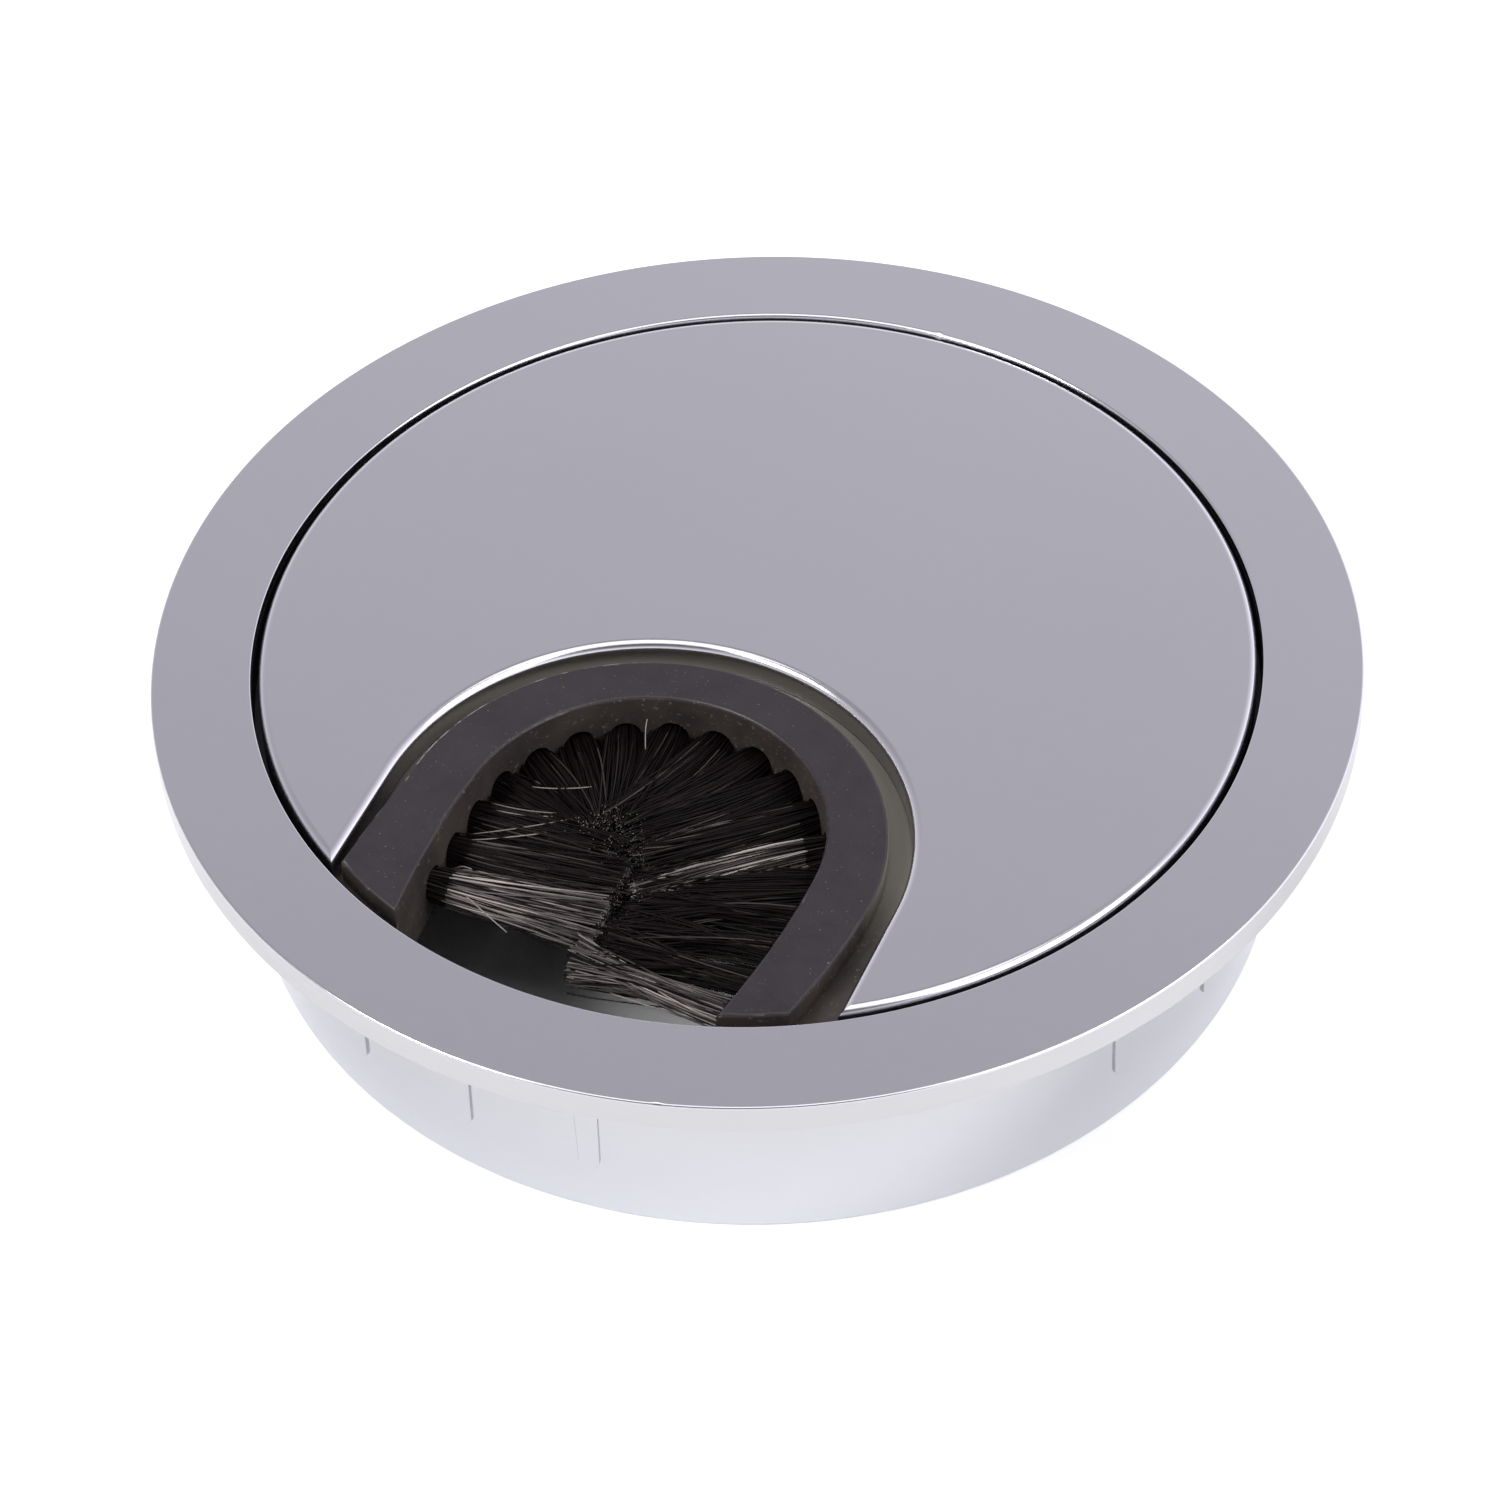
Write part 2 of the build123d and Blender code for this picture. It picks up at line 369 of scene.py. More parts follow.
def bump(tree, shader, height, strength, distance):
    node = add_node(tree, "ShaderNodeBump", [("Height", height)])
    set_inputs(node, {"Strength": strength, "Distance": distance})
    tree.links.new(node.outputs["Normal"], shader.inputs["Normal"])


def object_place(tree):
    return tree.nodes.new("ShaderNodeTexCoord").outputs["Object"]


def surface_normal(tree):
    return tree.nodes.new("ShaderNodeNewGeometry").outputs["Normal"]


def part_of(tree, vector, axis):
    """The X, Y or Z part of a vector."""
    return add_node(tree, "ShaderNodeSeparateXYZ", [("Vector", vector)]).outputs[axis]


def vector_math(tree, operation, vector, constant):
    """A Vector Math node of a vector's socket and a constant one."""
    node = add_node(tree, "ShaderNodeVectorMath", [(0, vector)], operation=operation)
    node.inputs[1].default_value = constant
    return node.outputs


def axis_distance(tree, place):
    """How far a place lies from the Z axis."""
    flat = vector_math(tree, "MULTIPLY", place, (1.0, 1.0, 0.0))["Vector"]
    return add_node(tree, "ShaderNodeVectorMath", [(0, flat)], operation="LENGTH").outputs["Value"]


def seen_from(tree, place, centre):
    """A place as it lies from an upright axis through centre."""
    return vector_math(tree, "SUBTRACT", place, (*centre, 0.0))["Vector"]


def satin_metal(name, tint, shaded_where):
    """Satin-chromed zinc: even, with a faint cloud in its colour and a fine mottle in its gloss. It gets
    painted shade, dark and rougher, where the given mask, a function of the tree and the place, is 1, and
    painted light and shade on the ring's upright outside sides."""
    material, tree, shader = node_material(name)
    place = object_place(tree)
    set_inputs(shader, {"Metallic": 1.0})
    shade = tuple(CLOUD_SHADE * channel for channel in tint)
    clouded = blend_colours(tree, noise(tree, place, PLATING_CLOUD), shade, tint)
    plating_and_painted_sides = blend_colours(tree, off_side(tree, place), painted_side_light_and_shade(tree, place), clouded)
    painted_shade = shaded_where(tree, place)
    tree.links.new(blend_colours(tree, painted_shade, plating_and_painted_sides, PAINTED_SHADE_PLATING), shader.inputs["Base Color"])
    gloss = mottled(tree, place, PLATING_MOTTLE, PLATING_ROUGHNESS)
    rougher = combine(tree, "MULTIPLY", painted_shade, DULL_ROUGHNESS)
    tree.links.new(combine(tree, "ADD", gloss, rougher), shader.inputs["Roughness"])
    return material


def off_side(tree, place):
    """0 on the ring's outside where it is upright or faces down, 1 where it faces up and further in."""
    upward = rising(tree, part_of(tree, surface_normal(tree), "Z"), 0.1, 0.4)
    within = falling(tree, axis_distance(tree, place), SIDE_FROM, SIDE_TO)
    return combine(tree, "MAXIMUM", upward, within)


def painted_side_light_and_shade(tree, place):
    """Painted light and shade on an upright side: lighter at the skirt's foot, darker up to its top, and its
    own painted shade on the flange.
    """
    height = part_of(tree, place, "Z")
    skirt = blend_colours(tree, rising(tree, height, 0.0, FLANGE_BOTTOM), SKIRT_FOOT_PAINTED_LIGHT, SKIRT_TOP_PAINTED_SHADE)
    on_flange = rising(tree, height, FLANGE_BOTTOM - 0.1 * MM, FLANGE_BOTTOM)
    return blend_colours(tree, on_flange, skirt, FLANGE_SIDE_PAINTED_SHADE)


def away_from_unshaded_ends(tree, place):
    """0 at the two ends of a line across the ring, where the painted shade is left off."""
    along = vector_math(tree, "DOT_PRODUCT", place, direction_to(UNSHADED_AZIMUTH, 0.0))["Value"]
    return falling(tree, combine(tree, "ABSOLUTE", along), UNSHADED_FROM, UNSHADED_TO)


def inside_ring(tree, place):
    """1 on the ring's inner walls, below the rounded edge of the recess, where painted shade goes."""
    within = falling(tree, axis_distance(tree, place), RECESS_RADIUS + 0.05 * MM, RECESS_RADIUS + 0.1 * MM)
    height = part_of(tree, place, "Z")
    below_edge = falling(tree, height, RING_HEIGHT - 0.9 * MM, RING_HEIGHT - 0.5 * MM)
    below_lid = falling(tree, height, LID_BOTTOM - 0.3 * MM, LID_BOTTOM)
    wall = product(tree, below_edge, away_from_unshaded_ends(tree, place))
    return product(tree, within, combine(tree, "MAXIMUM", wall, below_lid))


def under_lid(tree, place):
    """1 on the straight part of the lid's rim, and on its underside, where painted shade goes."""
    height = part_of(tree, place, "Z")
    side_top = RING_HEIGHT - LID_EDGE
    low = falling(tree, height, side_top - 0.3 * MM, side_top)
    radius = axis_distance(tree, seen_from(tree, place, LID_CENTRE))
    on_rim = rising(tree, radius, LID_RADIUS - 0.1 * MM, LID_RADIUS - 0.05 * MM)
    underside = falling(tree, height, LID_BOTTOM + 0.01 * MM, LID_BOTTOM + 0.1 * MM)
    return combine(tree, "MAXIMUM", product(tree, low, on_rim, away_from_unshaded_ends(tree, place)), underside)


def moulded_plastic(name):
    """Black moulded plastic: its top is smooth and slightly purple, its walls are browner and scuffed, and
    lighter as painted light, the trench round the horseshoe gets a painted light, and dust specks lie all
    over."""
    material, tree, shader = node_material(name)
    place = object_place(tree)
    set_inputs(shader, {"Specular IOR Level": PLASTIC_SPECULAR})
    upward = rising(tree, part_of(tree, surface_normal(tree), "Z"), 0.3, 0.7)
    on_top = rising(tree, part_of(tree, place, "Z"), SHOE_TOP - 1.0 * MM, SHOE_TOP - 0.5 * MM)
    cloud = rising(tree, noise(tree, place, PLASTIC_CLOUD), 0.35, 0.65)
    skin = blend_colours(tree, cloud, *SKIN_TONES)
    wall = blend_colours(tree, cloud, *WALL_TONES_WITH_PAINTED_LIGHT)
    scuffs = remap(tree, noise(tree, place, WALL_SCUFFS), *WALL_SCUFF_COVER)
    wall = blend_colours(tree, scuffs, wall, WALL_SCUFF)
    wall = blend_colours(tree, in_trench(tree, place), wall, TRENCH_PAINTED_LIGHT)
    body = blend_colours(tree, product(tree, upward, on_top), wall, skin)
    specks = remap(tree, noise(tree, place, DUST_SPECKS), *DUST_COVER)
    body = blend_colours(tree, specks, body, DUST)
    rub = combine(tree, "MULTIPLY", rubbed_edge(tree, place), RUBBED_SHARE)
    tree.links.new(blend_colours(tree, rub, body, RUBBED_PLASTIC), shader.inputs["Base Color"])
    gloss = mottled(tree, place, PLASTIC_MOTTLE, PLASTIC_ROUGHNESS)
    rougher = combine(tree, "MULTIPLY", combine(tree, "SUBTRACT", 1.0, upward), WALL_ROUGHER)
    tree.links.new(combine(tree, "ADD", gloss, rougher), shader.inputs["Roughness"])
    bump(tree, shader, noise(tree, place, PLASTIC_GRAIN), GRAIN_STRENGTH, GRAIN_DEPTH)
    return material


def in_trench(tree, place):
    """1 in the trench between the horseshoe's arch and the lid's notch, where light is painted on."""
    centred = seen_from(tree, place, SHOE_CENTRE)
    radius = axis_distance(tree, centred)
    outside_shoe = rising(tree, radius, SHOE_RADIUS - 0.5 * MM, SHOE_RADIUS - 0.3 * MM)
    in_notch = falling(tree, radius, NOTCH_RADIUS, NOTCH_RADIUS + 0.6 * MM)
    on_arch = rising(tree, part_of(tree, centred, "Y"), -2.0 * MM, 4.0 * MM)
    return product(tree, outside_shoe, in_notch, on_arch)


def rubbed_edge(tree, place):
    """Short pale scuffs along the back left of the horseshoe's outer top edge."""
    centred = seen_from(tree, place, SHOE_CENTRE)
    off_edge = combine(tree, "SUBTRACT", axis_distance(tree, centred), SHOE_RADIUS)
    near = falling(tree, combine(tree, "ABSOLUTE", off_edge), 0.14 * MM, 0.22 * MM)
    high = rising(tree, part_of(tree, place, "Z"), SHOE_TOP - 0.25 * MM, SHOE_TOP - 0.1 * MM)
    dashes = remap(tree, noise(tree, place, EDGE_SCUFFS), *EDGE_SCUFF_COVER)
    on_left = falling(tree, part_of(tree, centred, "X"), -9.0 * MM, -6.0 * MM)
    behind = rising(tree, part_of(tree, centred, "Y"), -2.0 * MM, 3.0 * MM)
    return product(tree, near, high, dashes, on_left, behind)


def steel_wire(name):
    """Bright staple wire that has dulled in patches."""
    material, tree, shader = node_material(name)
    set_inputs(shader, {"Metallic": 1.0})
    patches = noise(tree, object_place(tree), WIRE_PATCHES)
    tree.links.new(blend_colours(tree, patches, *WIRE_TONES), shader.inputs["Base Color"])
    tree.links.new(remap(tree, patches, *NOISE_RANGE, *WIRE_ROUGHNESS), shader.inputs["Roughness"])
    return material


def bristle_nylon(name):
    """Black nylon filament. Each strand's tone attribute paints it: pale for dust and painted highlight, near
    black for painted shade.
    """
    material, tree, shader = node_material(name)
    set_inputs(shader, {"Specular IOR Level": NYLON_SPECULAR})
    tone = add_node(tree, "ShaderNodeAttribute", attribute_name="tone").outputs["Fac"]
    tree.links.new(blend_colours(tree, tone, *NYLON_TONES), shader.inputs["Base Color"])
    gloss = mottled(tree, object_place(tree), NYLON_MOTTLE, NYLON_ROUGHNESS)
    tree.links.new(gloss, shader.inputs["Roughness"])
    return material


def put_on(obj, material):
    obj.data.materials.clear()
    obj.data.materials.append(material)


def tuft_places():
    """(point on the wall, inward direction) of each tuft, from the left arm's lowest, round the arch, to the
    right arm's lowest."""
    left_arm_length = ARCH_CENTRE.y - FIRST_TUFT_Y
    arch_length = math.pi * ARCH_RADIUS
    places = []
    for number in range(TUFT_COUNT):
        along = number * TUFT_PITCH - left_arm_length
        if along < 0:
            point = ARCH_CENTRE + Vector((-ARCH_RADIUS, along, 0.0))
            inward = Vector((1.0, 0.0, 0.0))
        elif along < arch_length:
            outwards = math.pi - along / ARCH_RADIUS
            outward = Vector((math.cos(outwards), math.sin(outwards), 0.0))
            point = ARCH_CENTRE + ARCH_RADIUS * outward
            inward = -outward
        else:
            down = along - arch_length
            point = ARCH_CENTRE + Vector((ARCH_RADIUS - RIGHT_ARM_LEAN * down, -down, 0.0))
            inward = Vector((-1.0, 0.0, 0.0))
        places.append((point, inward))
    return places


def strand_points(root, leave, tip, arrive):
    """Points along a smooth strand that leaves the root and arrives at the tip in the given directions."""
    share = np.linspace(0.0, 1.0, STRAND_STEPS + 1)[:, None]
    second = root + leave
    third = tip - arrive
    rest = 1.0 - share
    return rest**3 * root + 3 * rest**2 * share * second + 3 * rest * share**2 * third + share**3 * tip


def strand_mesh(path, radius, tones, vertices, faces, face_tones):
    """Adds one closed round strand along path to the lists, with a tone for each length of it."""
    start = len(vertices)
    steps = len(path)
    ahead = np.gradient(path, axis=0)
    ahead /= np.linalg.norm(ahead, axis=1)[:, None]
    across = np.cross(ahead, (0.0, 0.0, 1.0))
    across /= np.linalg.norm(across, axis=1)[:, None]
    over = np.cross(across, ahead)
    for number in range(steps):
        for side in range(STRAND_SIDES):
            turn = 2 * math.pi * side / STRAND_SIDES
            rim = math.cos(turn) * across[number] + math.sin(turn) * over[number]
            vertices.append(path[number] + radius * rim)
    for number in range(steps - 1):
        for side in range(STRAND_SIDES):
            a = start + number * STRAND_SIDES + side
            b = start + number * STRAND_SIDES + (side + 1) % STRAND_SIDES
            faces.append((a, a + STRAND_SIDES, b + STRAND_SIDES, b))
            face_tones.append(tones[number])
    last = start + (steps - 1) * STRAND_SIDES
    faces.append(tuple(start + side for side in range(STRAND_SIDES)))
    faces.append(tuple(last + side for side in reversed(range(STRAND_SIDES))))
    face_tones.extend((CUT_END_TONE, CUT_END_TONE))


def tuft_object(name, strands, material):
    """A mesh object of strands, each (path, radius, tones)."""
    vertices = []
    faces = []
    face_tones = []
    for path, radius, tones in strands:
        strand_mesh(path, radius, tones, vertices, faces, face_tones)
    mesh = bpy.data.meshes.new(name)
    mesh.from_pydata([tuple(v) for v in vertices], [], faces)
    mesh.polygons.foreach_set("use_smooth", [len(face) == 4 for face in faces])
    tone_layer = mesh.attributes.new("tone", "FLOAT", "FACE")
    tone_layer.data.foreach_set("value", face_tones)
    mesh.update()
    return placed_object(name, mesh, material)


def placed_object(name, mesh, material):
    obj = bpy.data.objects.new(name, mesh)
    bpy.context.scene.collection.objects.link(obj)
    obj.data.materials.append(material)
    return obj


def strand_tones(rng, pale, glint_at, length):
    """Tones along one strand, painted highlight and painted shade: a few of a dark tuft's strands catch the
    light, and most of a pale one's, but none next to the wall, where they get painted shade."""
    share = (np.arange(STRAND_STEPS) + 0.5) / STRAND_STEPS
    if rng.uniform() < CATCH_SHARE + pale:
        own = (CATCH_GAIN * pale + CATCH_LEAST) * rng.uniform(*CATCH_RANGE) ** 2
    else:
        own = DARK_TONE * rng.uniform(0.0, 1.0)
    glint = np.exp(-(((share - glint_at) / GLINT_WIDTH) ** 2))
    shaded = share * length < ROOT_DEPTH + SHADED_LENGTH * rng.uniform(*SHADED_RANGE)
    return own * (GLINT_FLOOR + (1.0 - GLINT_FLOOR) * glint) * np.where(shaded, SHADED_TONE, 1.0)


def tuft_strands(rng, point, inward, look):
    """The strands of one tuft: packed in its hole, fanning out to their tips."""
    (tip_x, tip_y), fan_across, fan_along, pale, glint_at = look
    up = np.array((0.0, 0.0, 1.0))
    sideways = np.cross(up, inward)
    tip_centre = np.array((tip_x * MM, tip_y * MM, point[2] + TIP_LIFT))
    heading = tip_centre - point
    heading[2] = 0.0
    heading /= np.linalg.norm(heading)
    on_arm = abs(inward[1]) < 0.01
    fan_side = SEAM_SIDE if on_arm else np.cross(up, heading)
    strands = []
    for _ in range(STRANDS_PER_TUFT):
        turn = rng.uniform(0, 2 * math.pi)
        out = math.sqrt(rng.uniform(0, 1))
        side, rise = out * math.cos(turn), out * math.sin(turn)
        root = point - ROOT_DEPTH * inward - ROOT_SINK * up + ROOT_SPREAD * (side * sideways + rise * up)
        splay = side + rng.normal(0, SPLAY_JITTER)
        lift = rise + rng.normal(0, SPLAY_JITTER)
        reach_on = rng.normal(0, REACH_JITTER)
        spread = splay * fan_across * fan_side + lift * FAN_UP * up + reach_on * fan_along * heading
        tip = tip_centre + spread * MM
        length = np.linalg.norm(tip - root)
        opening = OPENING_OUT * rng.normal(side, OPENING_JITTER) * sideways
        leave = inward * length * LEAVE_SHARE + opening + rng.normal(0, LEAVE_JITTER, 3) * MM
        arrive = (tip - root - leave) * ARRIVE_SHARE + rng.normal(0, ARRIVE_JITTER, 3) * MM
        path = strand_points(root, leave, tip, arrive)
        tones = strand_tones(rng, pale, glint_at, length)
        strands.append((path, STRAND_RADIUS * rng.uniform(*THICKNESS_RANGE), tones))
    return strands


def stray(points, tone):
    """A single loose bristle through four points in millimetres."""
    root, after, before, tip = (np.array(point) * MM for point in points)
    path = strand_points(root, after - root, tip, tip - before)
    return path, STRAY_RADIUS, [STRAY_TONE * tone] * STRAND_STEPS


def brush_tufts(material):
    """One piece for each tuft, in place of its CAD solid."""
    rng = np.random.default_rng(SEED)
    for number, ((point, inward), look) in enumerate(zip(tuft_places(), TUFT_LOOKS), start=1):
        strands = tuft_strands(rng, np.array(point), np.array(inward), look)
        strands.extend(stray(points, tone) for points, tone in STRAYS.get(number, ()))
        piece = tuft_object(f"strands_{number:02d}", strands, material)
        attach(piece, "brush")
        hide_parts(f"bristle_tuft_{number:02d}")


def turned(vector, angle):
    """A flat vector turned anticlockwise."""
    x, y = vector
    return math.cos(angle) * x - math.sin(angle) * y, math.sin(angle) * x + math.cos(angle) * y


def rounded_outline(corners):
    """A closed anticlockwise outline of (x, y, rounding radius) corners. Gives each of its points with the
    outward normals before and after it, which differ only at a sharp corner."""
    outline = []
    count = len(corners)
    for number, (x, y, radius) in enumerate(corners):
        last_x, last_y, _ = corners[number - 1]
        next_x, next_y, _ = corners[(number + 1) % count]
        arriving = Vector((x - last_x, y - last_y)).normalized()
        leaving = Vector((next_x - x, next_y - y)).normalized()
        normal_in = (arriving.y, -arriving.x)
        normal_out = (leaving.y, -leaving.x)
        if not radius:
            outline.append(((x, y), normal_in, normal_out))
            continue
        bend = arriving.angle(leaving)
        cut = radius * math.tan(bend / 2)
        centre_x = x - cut * arriving.x - radius * normal_in[0]
        centre_y = y - cut * arriving.y - radius * normal_in[1]
        for step in range(ARC_STEPS + 1):
            normal = turned(normal_in, bend * step / ARC_STEPS)
            at = (centre_x + radius * normal[0], centre_y + radius * normal[1])
            outline.append((at, normal, normal))
    return outline


def wear(angle, middle, width, most):
    """Extra rounding of an edge, worn or knocked into it about one place on the ring."""
    off = (angle - math.radians(middle) + math.pi) % (2 * math.pi) - math.pi
    return most * math.exp(-((off / math.radians(width)) ** 2))


def ring_outline(angle):
    """The ring's section at an angle about its axis, as radius and height."""
    recess_edge = RECESS_EDGE + wear(angle, *RECESS_WEAR) + wear(angle, *RECESS_KNOCK)
    flange_edge = RING_EDGE + wear(angle, *FLANGE_KNOCK)
    return rounded_outline([
        (RECESS_RADIUS, RING_HEIGHT, recess_edge),
        (RECESS_RADIUS, LEDGE_TOP, 0.0),
        (LEDGE_RADIUS, LEDGE_TOP, 0.0),
        (LEDGE_RADIUS, LEDGE_BOTTOM, 0.0),
        (RECESS_RADIUS, LEDGE_BOTTOM, 0.0),
        (RECESS_RADIUS, 0.0, RING_EDGE),
        (SKIRT_RADIUS, 0.0, RING_EDGE),
        (SKIRT_RADIUS, FLANGE_BOTTOM, 0.0),
        (FLANGE_RADIUS, FLANGE_BOTTOM, RING_EDGE),
        (FLANGE_RADIUS, RING_HEIGHT, flange_edge),
    ])


class Shell:
    """Vertices, faces and a normal for each face corner, gathered for one mesh."""

    def __init__(self):
        self.vertices = []
        self.faces = []
        self.normals = []

    def add_points(self, points):
        start = len(self.vertices)
        self.vertices.extend(tuple(point) for point in points)
        return start

    def add_face(self, corners, normals):
        self.faces.append(tuple(corners))
        self.normals.extend(tuple(normal) for normal in normals)

    def mesh(self, name):
        mesh = bpy.data.meshes.new(name)
        mesh.from_pydata(self.vertices, [], self.faces)
        mesh.polygons.foreach_set("use_smooth", [True] * len(self.faces))
        mesh.normals_split_custom_set(self.normals)
        mesh.update()
        return mesh


def spun(flat, angle):
    """A (radius, height) point or normal, turned about the Z axis."""
    radius, height = flat
    return radius * math.cos(angle), radius * math.sin(angle), height


def lathe_ring(shell):
    """The ring's section carried round its axis."""
    angles = [2 * math.pi * number / RING_SEGMENTS for number in range(RING_SEGMENTS)]
    sections = [ring_outline(angle) for angle in angles]
    count = len(sections[0])
    for angle, section in zip(angles, sections):
        shell.add_points(spun(at, angle) for at, _, _ in section)
    for number in range(RING_SEGMENTS):
        following = (number + 1) % RING_SEGMENTS
        for low in range(count):
            high = (low + 1) % count
            corners = []
            normals = []
            for segment, point in ((number, low), (following, low), (following, high), (number, high)):
                _, normal_in, normal_out = sections[segment][point]
                corners.append(segment * count + point)
                normals.append(spun(normal_out if point == low else normal_in, angles[segment]))
            shell.add_face(corners, normals)


def rib_outline(inset):
    """The crush rib seen from outside, as (sideways, height): straight, tapered, with a round lower end."""
    end = RIB_END_Z + RIB_END_HALF
    radius = RIB_END_HALF - inset
    points = [(RIB_TOP_HALF - inset, FLANGE_BOTTOM), (-RIB_TOP_HALF + inset, FLANGE_BOTTOM)]
    for step in range(RIB_END_STEPS + 1):
        turn = math.pi + math.pi * step / RIB_END_STEPS
        points.append((radius * math.cos(turn), end + radius * math.sin(turn)))
    return points


def crush_rib(shell, angle):
    """A closed bar on the skirt, with its outer edges bevelled."""
    levels = (
        (SKIRT_RADIUS - RIB_ROOT, 0.0),
        (SKIRT_RADIUS + RIB_OUT - RIB_BEVEL, 0.0),
        (SKIRT_RADIUS + RIB_OUT, RIB_BEVEL),
    )
    out = Vector(spun((1.0, 0.0), angle))
    side = Vector(spun((1.0, 0.0), angle + math.pi / 2))
    rings = []
    for level, inset in levels:
        outline = rib_outline(inset)
        points = [level * out + across * side + Vector((0.0, 0.0, height)) for across, height in outline]
        rings.append((shell.add_points(points), points))
    count = len(rings[0][1])
    for (lower, low_points), (upper, high_points) in zip(rings, rings[1:]):
        for number in range(count):
            after = (number + 1) % count
            corners = (lower + number, lower + after, upper + after, upper + number)
            run = low_points[after] - low_points[number]
            rise = (high_points[number] - low_points[number]) or out
            normal = run.cross(rise).normalized()
            shell.add_face(corners, [normal] * 4)
    shell.add_face([rings[-1][0] + number for number in range(count)], [out] * count)
    shell.add_face([rings[0][0] + number for number in reversed(range(count))], [-out] * count)


def ring_casting(material):
    """The flanged ring and its crush ribs, in place of the CAD node."""
    shell = Shell()
    lathe_ring(shell)
    for group in RIB_GROUP_ANGLES:
        for step in (-1, 0, 1):
            crush_rib(shell, math.radians(group + step * RIB_PITCH_ANGLE))
    piece = placed_object("ring_casting", shell.mesh("ring_casting"), material)
    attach(piece, "ring")
    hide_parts("base_ring")


def rounding(radius, depth):
    """At a depth below the top face: how far a rounded edge stands back, then the sideways part and the
    upward part of its normal."""
    up = max(0.0, 1.0 - depth / radius)
    sideways = math.sqrt(1.0 - up * up)
    return radius * (1.0 - sideways), sideways, up


def lid_outline(depth):
    """The lid's outline at a depth: (points, flat outward normals) along its rim, then along its notch."""
    set_back, _, _ = rounding(LID_EDGE, depth)
    centre_x, centre_y = LID_CENTRE
    x, y = NOTCH_CENTRE
    rim = LID_RADIUS - set_back
    notch = NOTCH_RADIUS + set_back
    right, left = x + notch, x - notch
    right_y = centre_y - math.sqrt(rim**2 - (right - centre_x) ** 2)
    left_y = centre_y - math.sqrt(rim**2 - (left - centre_x) ** 2)
    first = math.atan2(right_y - centre_y, right - centre_x)
    last = math.atan2(left_y - centre_y, left - centre_x) + 2 * math.pi
    rim_points, rim_normals = [], []
    for angle in np.linspace(first, last, LID_RIM_POINTS + 1):
        outward = (math.cos(angle), math.sin(angle))
        rim_points.append((centre_x + rim * outward[0], centre_y + rim * outward[1]))
        rim_normals.append(outward)
    notch_points, notch_normals = [], []
    for height in np.linspace(left_y, y, NOTCH_ARM_POINTS + 1)[:-1]:
        notch_points.append((left, height))
        notch_normals.append((1.0, 0.0))
    for angle in np.linspace(math.pi, 0.0, NOTCH_ARCH_POINTS + 1):
        outward = (math.cos(angle), math.sin(angle))
        notch_points.append((x + notch * outward[0], y + notch * outward[1]))
        notch_normals.append((-outward[0], -outward[1]))
    for height in np.linspace(y, right_y, NOTCH_ARM_POINTS + 1)[1:]:
        notch_points.append((right, height))
        notch_normals.append((-1.0, 0.0))
    return (rim_points, rim_normals), (notch_points, notch_normals)


def lid_levels():
    """Depths of the lid's outlines below its top face, close together where its edges round over."""
    turns = [math.pi / 2 * step / LID_LEVELS for step in range(LID_LEVELS + 1)]
    return [LID_EDGE * (1.0 - math.cos(turn)) for turn in turns] + [RING_HEIGHT - LID_BOTTOM]


def lid_casting(material):
    """The notched lid, in place of the CAD node."""
    shell = Shell()
    levels = []
    for depth in lid_levels():
        rim, notch = lid_outline(depth)
        height = RING_HEIGHT - depth
        points = [(*at, height) for at in rim[0] + notch[0][1:-1]]
        levels.append((depth, shell.add_points(points), rim[1], notch[1]))
    count = len(points)
    for (high_depth, high, _, _), (low_depth, low, rim_normals, notch_normals) in zip(levels, levels[1:]):
        for number in range(count):
            after = (number + 1) % count
            on_rim = number < LID_RIM_POINTS
            flat = rim_normals if on_rim else notch_normals
            place = number if on_rim else number - LID_RIM_POINTS
            normals = []
            for depth, along in ((low_depth, 0), (low_depth, 1), (high_depth, 1), (high_depth, 0)):
                _, sideways, up = rounding(LID_EDGE, depth)
                across_x, across_y = flat[place + along]
                normals.append((sideways * across_x, sideways * across_y, up))
            shell.add_face((low + number, low + after, high + after, high + number), normals)
    top, bottom = levels[0][1], levels[-1][1]
    shell.add_face([top + number for number in range(count)], [(0.0, 0.0, 1.0)] * count)
    shell.add_face([bottom + number for number in reversed(range(count))], [(0.0, 0.0, -1.0)] * count)
    piece = placed_object("lid_casting", shell.mesh("lid_casting"), material)
    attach(piece, "cover")
    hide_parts("lid")


def direction_to(azimuth, elevation):
    """The unit vector towards a direction in degrees, its azimuth from +X towards +Y."""
    turn, rise = math.radians(azimuth), math.radians(elevation)
    return Vector((math.cos(rise) * math.cos(turn), math.cos(rise) * math.sin(turn), math.sin(rise)))


def softbox(name, azimuth, elevation, width, height, radiance):
    """A rectangular light that faces the object, placed by its direction in degrees."""
    light = bpy.data.lights.new(name, "AREA")
    light.shape = "RECTANGLE"
    light.size = width
    light.size_y = height
    light.energy = radiance * math.pi * width * height
    towards = direction_to(azimuth, elevation)
    obj = bpy.data.objects.new(name, light)
    obj.location = SOFTBOX_DISTANCE * towards
    obj.rotation_euler = towards.to_track_quat("Z", "Y").to_euler()
    bpy.context.scene.collection.objects.link(obj)


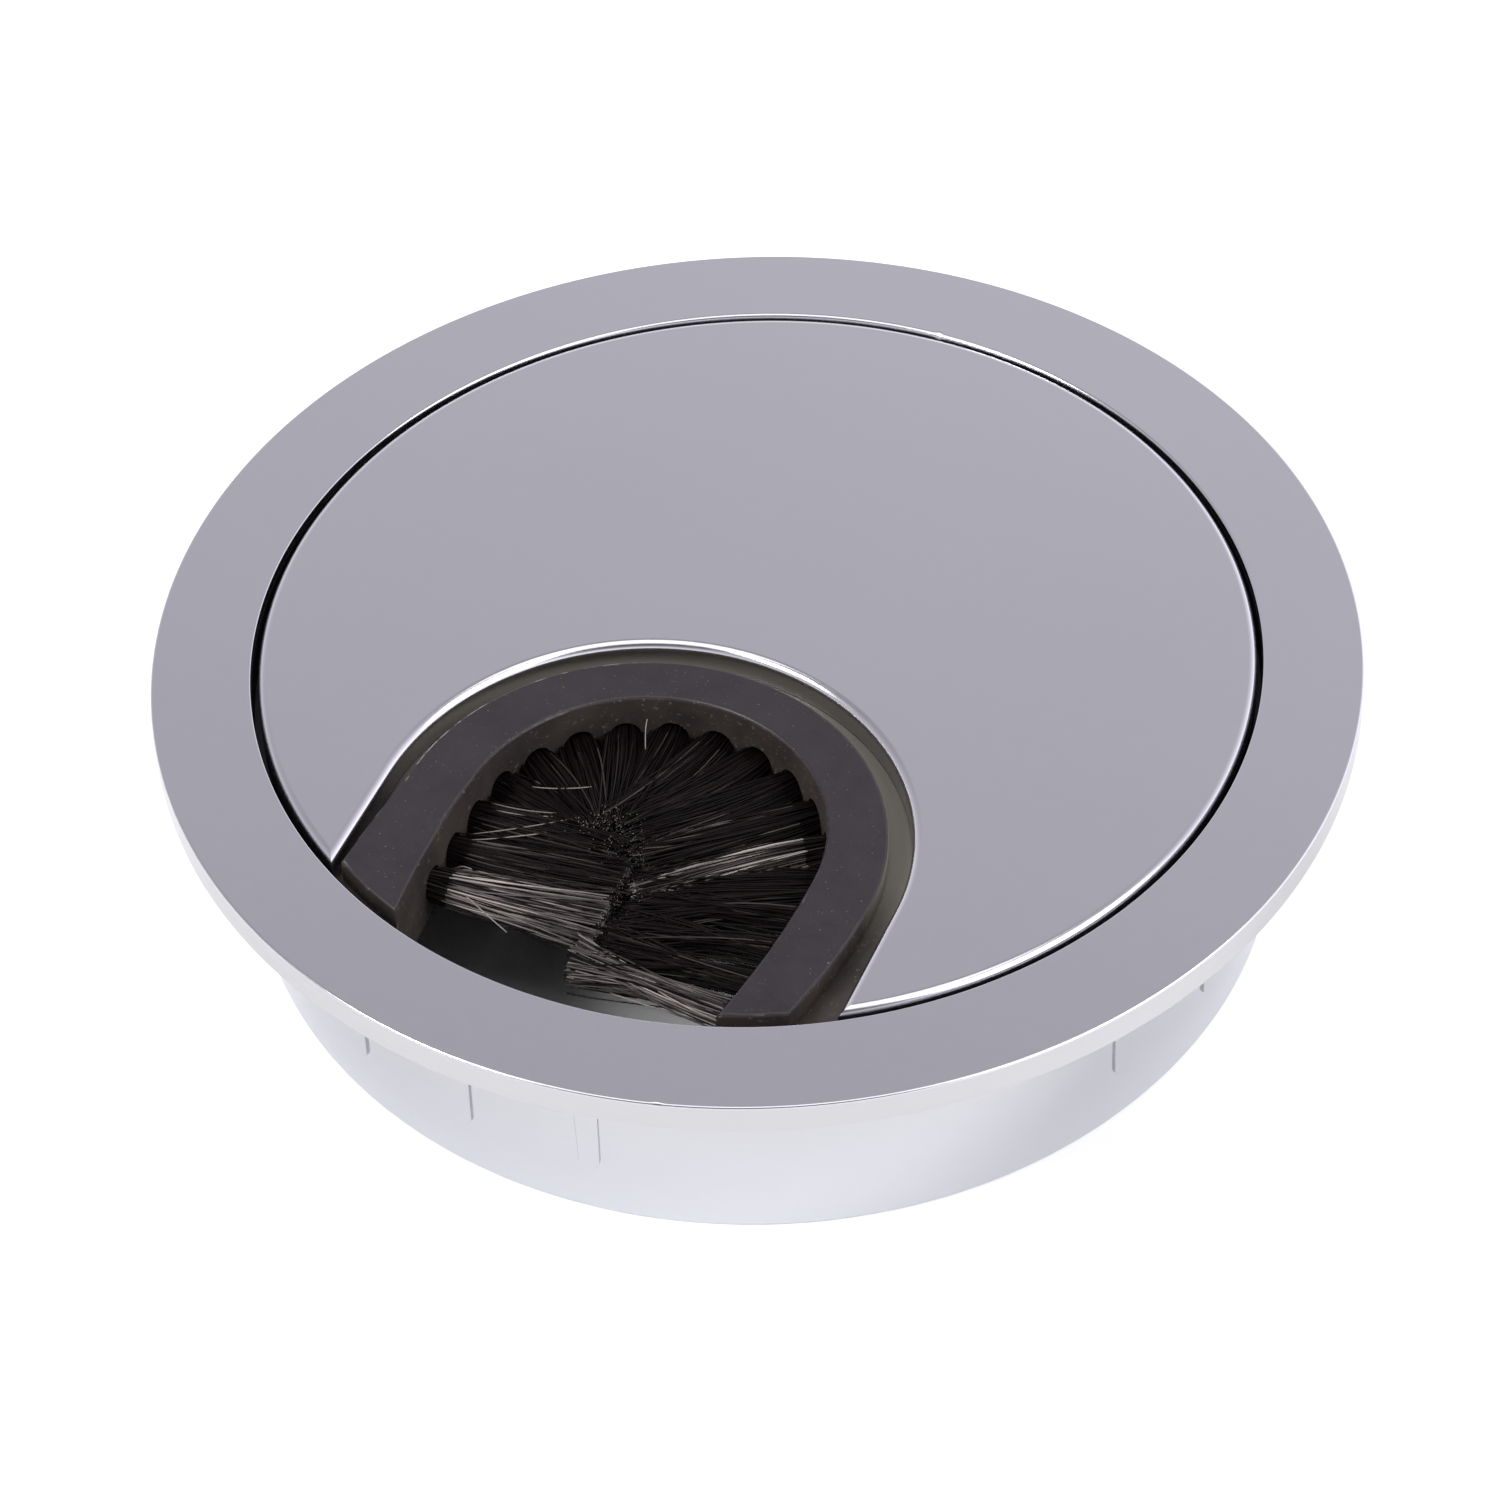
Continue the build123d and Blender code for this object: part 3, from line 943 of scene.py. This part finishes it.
def room():
    """A room that is bright near the horizon and darker overhead, as a white backdrop makes it, brighter on
    its right, with a nearly unlit part high in front."""
    world = bpy.data.worlds.new("studio")
    world.use_nodes = True
    tree = world.node_tree
    direction = tree.nodes.new("ShaderNodeTexCoord").outputs["Generated"]
    height = rising(tree, part_of(tree, direction, "Z"), 0.0, 1.0)
    colour = blend_colours(tree, height, HORIZON_LIGHT, ZENITH_LIGHT)
    unlit = vector_math(tree, "DOT_PRODUCT", direction, direction_to(UNLIT_AZIMUTH, UNLIT_ELEVATION))["Value"]
    shade = remap(tree, unlit, UNLIT_FROM, UNLIT_TO, 1.0, UNLIT_LIGHT)
    sideways = vector_math(tree, "DOT_PRODUCT", direction, direction_to(BRIGHT_AZIMUTH, 0.0))["Value"]
    slope = remap(tree, sideways, -1.0, 1.0, 1.0 - BRIGHT_SHARE, 1.0 + BRIGHT_SHARE)
    background = tree.nodes["Background"]
    tree.links.new(colour, background.inputs["Color"])
    tree.links.new(combine(tree, "MULTIPLY", shade, slope), background.inputs["Strength"])
    bpy.context.scene.world = world


def white_floor():
    """The floor that the object stands on."""
    half = FLOOR_SIZE / 2
    corners = [(-half, -half, 0), (half, -half, 0), (half, half, 0), (-half, half, 0)]
    mesh = bpy.data.meshes.new("floor")
    mesh.from_pydata(corners, [], [(0, 1, 2, 3)])
    material, _, shader = node_material("white_floor")
    colour = (FLOOR_TONE, FLOOR_TONE, FLOOR_TONE, 1.0)
    set_inputs(shader, {"Roughness": FLOOR_ROUGHNESS, "Base Color": colour})
    floor = placed_object("floor", mesh, material)


def studio():
    """White floor, bright-edged room, softboxes, and plain view settings."""
    white_floor()
    room()
    for name, settings in SOFTBOXES.items():
        softbox(name, *settings)
    view = bpy.context.scene.view_settings
    view.view_transform = "Standard"
    view.look = "None"


def camera():
    """The photograph's viewpoint."""
    data = bpy.data.cameras.new("camera")
    data.sensor_width = SENSOR
    data.lens = FOCAL_LENGTH
    data.clip_start = 0.01
    data.clip_end = 20.0
    obj = bpy.data.objects.new("camera", data)
    back = Vector((
        math.sin(VIEW_AZIMUTH) * math.cos(VIEW_ELEVATION),
        -math.cos(VIEW_AZIMUTH) * math.cos(VIEW_ELEVATION),
        math.sin(VIEW_ELEVATION),
    ))
    turn = back.to_track_quat("Z", "Y").to_matrix().to_4x4()
    place = Matrix.Translation(AIM + VIEW_DISTANCE * back)
    obj.matrix_world = place @ turn @ Matrix.Rotation(VIEW_ROLL, 4, "Z")
    bpy.context.scene.collection.objects.link(obj)
    bpy.context.scene.camera = obj


camera()
studio()
ring_casting(satin_metal("ring_satin_metal", RING_TINT, inside_ring))
lid_casting(satin_metal("lid_satin_metal", LID_TINT, under_lid))
put_on(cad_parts["brush_carrier"], moulded_plastic("carrier_black_plastic"))
put_on(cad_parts["tuft_anchors"], steel_wire("anchor_steel_wire"))
brush_tufts(bristle_nylon("bristle_black_nylon"))
